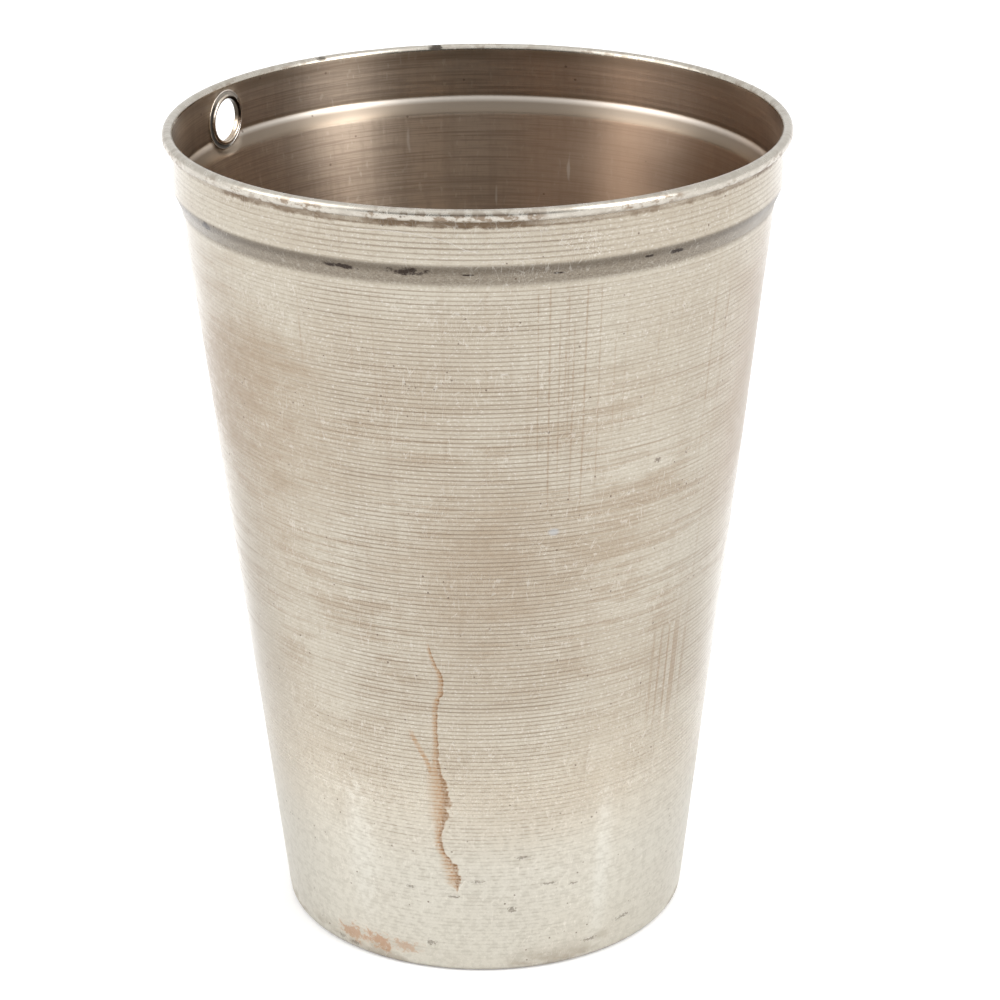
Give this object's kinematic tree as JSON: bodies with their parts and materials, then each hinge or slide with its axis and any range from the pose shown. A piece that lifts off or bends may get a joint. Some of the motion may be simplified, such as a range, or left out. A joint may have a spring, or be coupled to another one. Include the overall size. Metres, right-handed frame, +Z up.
{
  "type": "pail",
  "caption": "Tapered open-topped aluminium pail with a wired rolled rim, a stepped collar and an eyeleted hanging hole, for collecting and carrying milk or sap.",
  "frame": {"origin": "centre of the base, on the plane of the foot ring that the pail stands on", "axes": "+Z up along the pail's axis, +Y through the hanging hole, towards the post or wall that the pail hangs against"},
  "size_m": [0.2286, 0.2286, 0.31],
  "materials": {
    "aged_aluminium": "spun and worn, fine turning lines, warm grey tarnish",
    "steel_wire": "drawn wire, hidden in the rim",
    "eyelet_metal": "pressed and polished by wear, dirt in the corners"
  },
  "bodies": {
    "root": {"pail_shell": "aged_aluminium", "rim_wire": "steel_wire", "hanging_eyelet": "eyelet_metal", "eyelet_washer": "eyelet_metal"}
  },
  "joints": []
}
